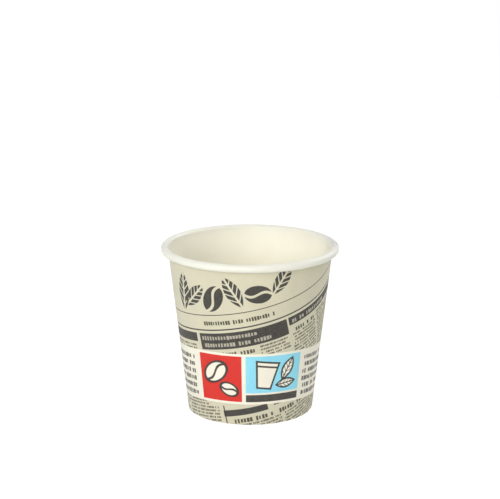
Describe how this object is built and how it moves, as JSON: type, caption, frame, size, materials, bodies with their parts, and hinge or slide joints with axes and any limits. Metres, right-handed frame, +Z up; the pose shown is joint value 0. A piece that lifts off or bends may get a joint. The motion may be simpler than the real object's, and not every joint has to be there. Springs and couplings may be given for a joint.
{
  "type": "paper cup",
  "caption": "Small single-wall paper cup with a rolled rim, a lapped side seam and a recessed base sealed into a folded foot, printed like a newspaper.",
  "frame": {"origin": "where the cup's axis meets the table", "axes": "+Z up along the cup's axis, -Y towards the side that the picture shows"},
  "size_m": [0.0632, 0.0632, 0.06],
  "materials": {
    "printed_board": "matt newsprint print on cup board, bare coated board inside and on the rim",
    "bare_board": "bare cup board with a thin coating"
  },
  "bodies": {
    "root": {"side_wall": "printed_board", "base_disc": "bare_board"}
  },
  "joints": []
}
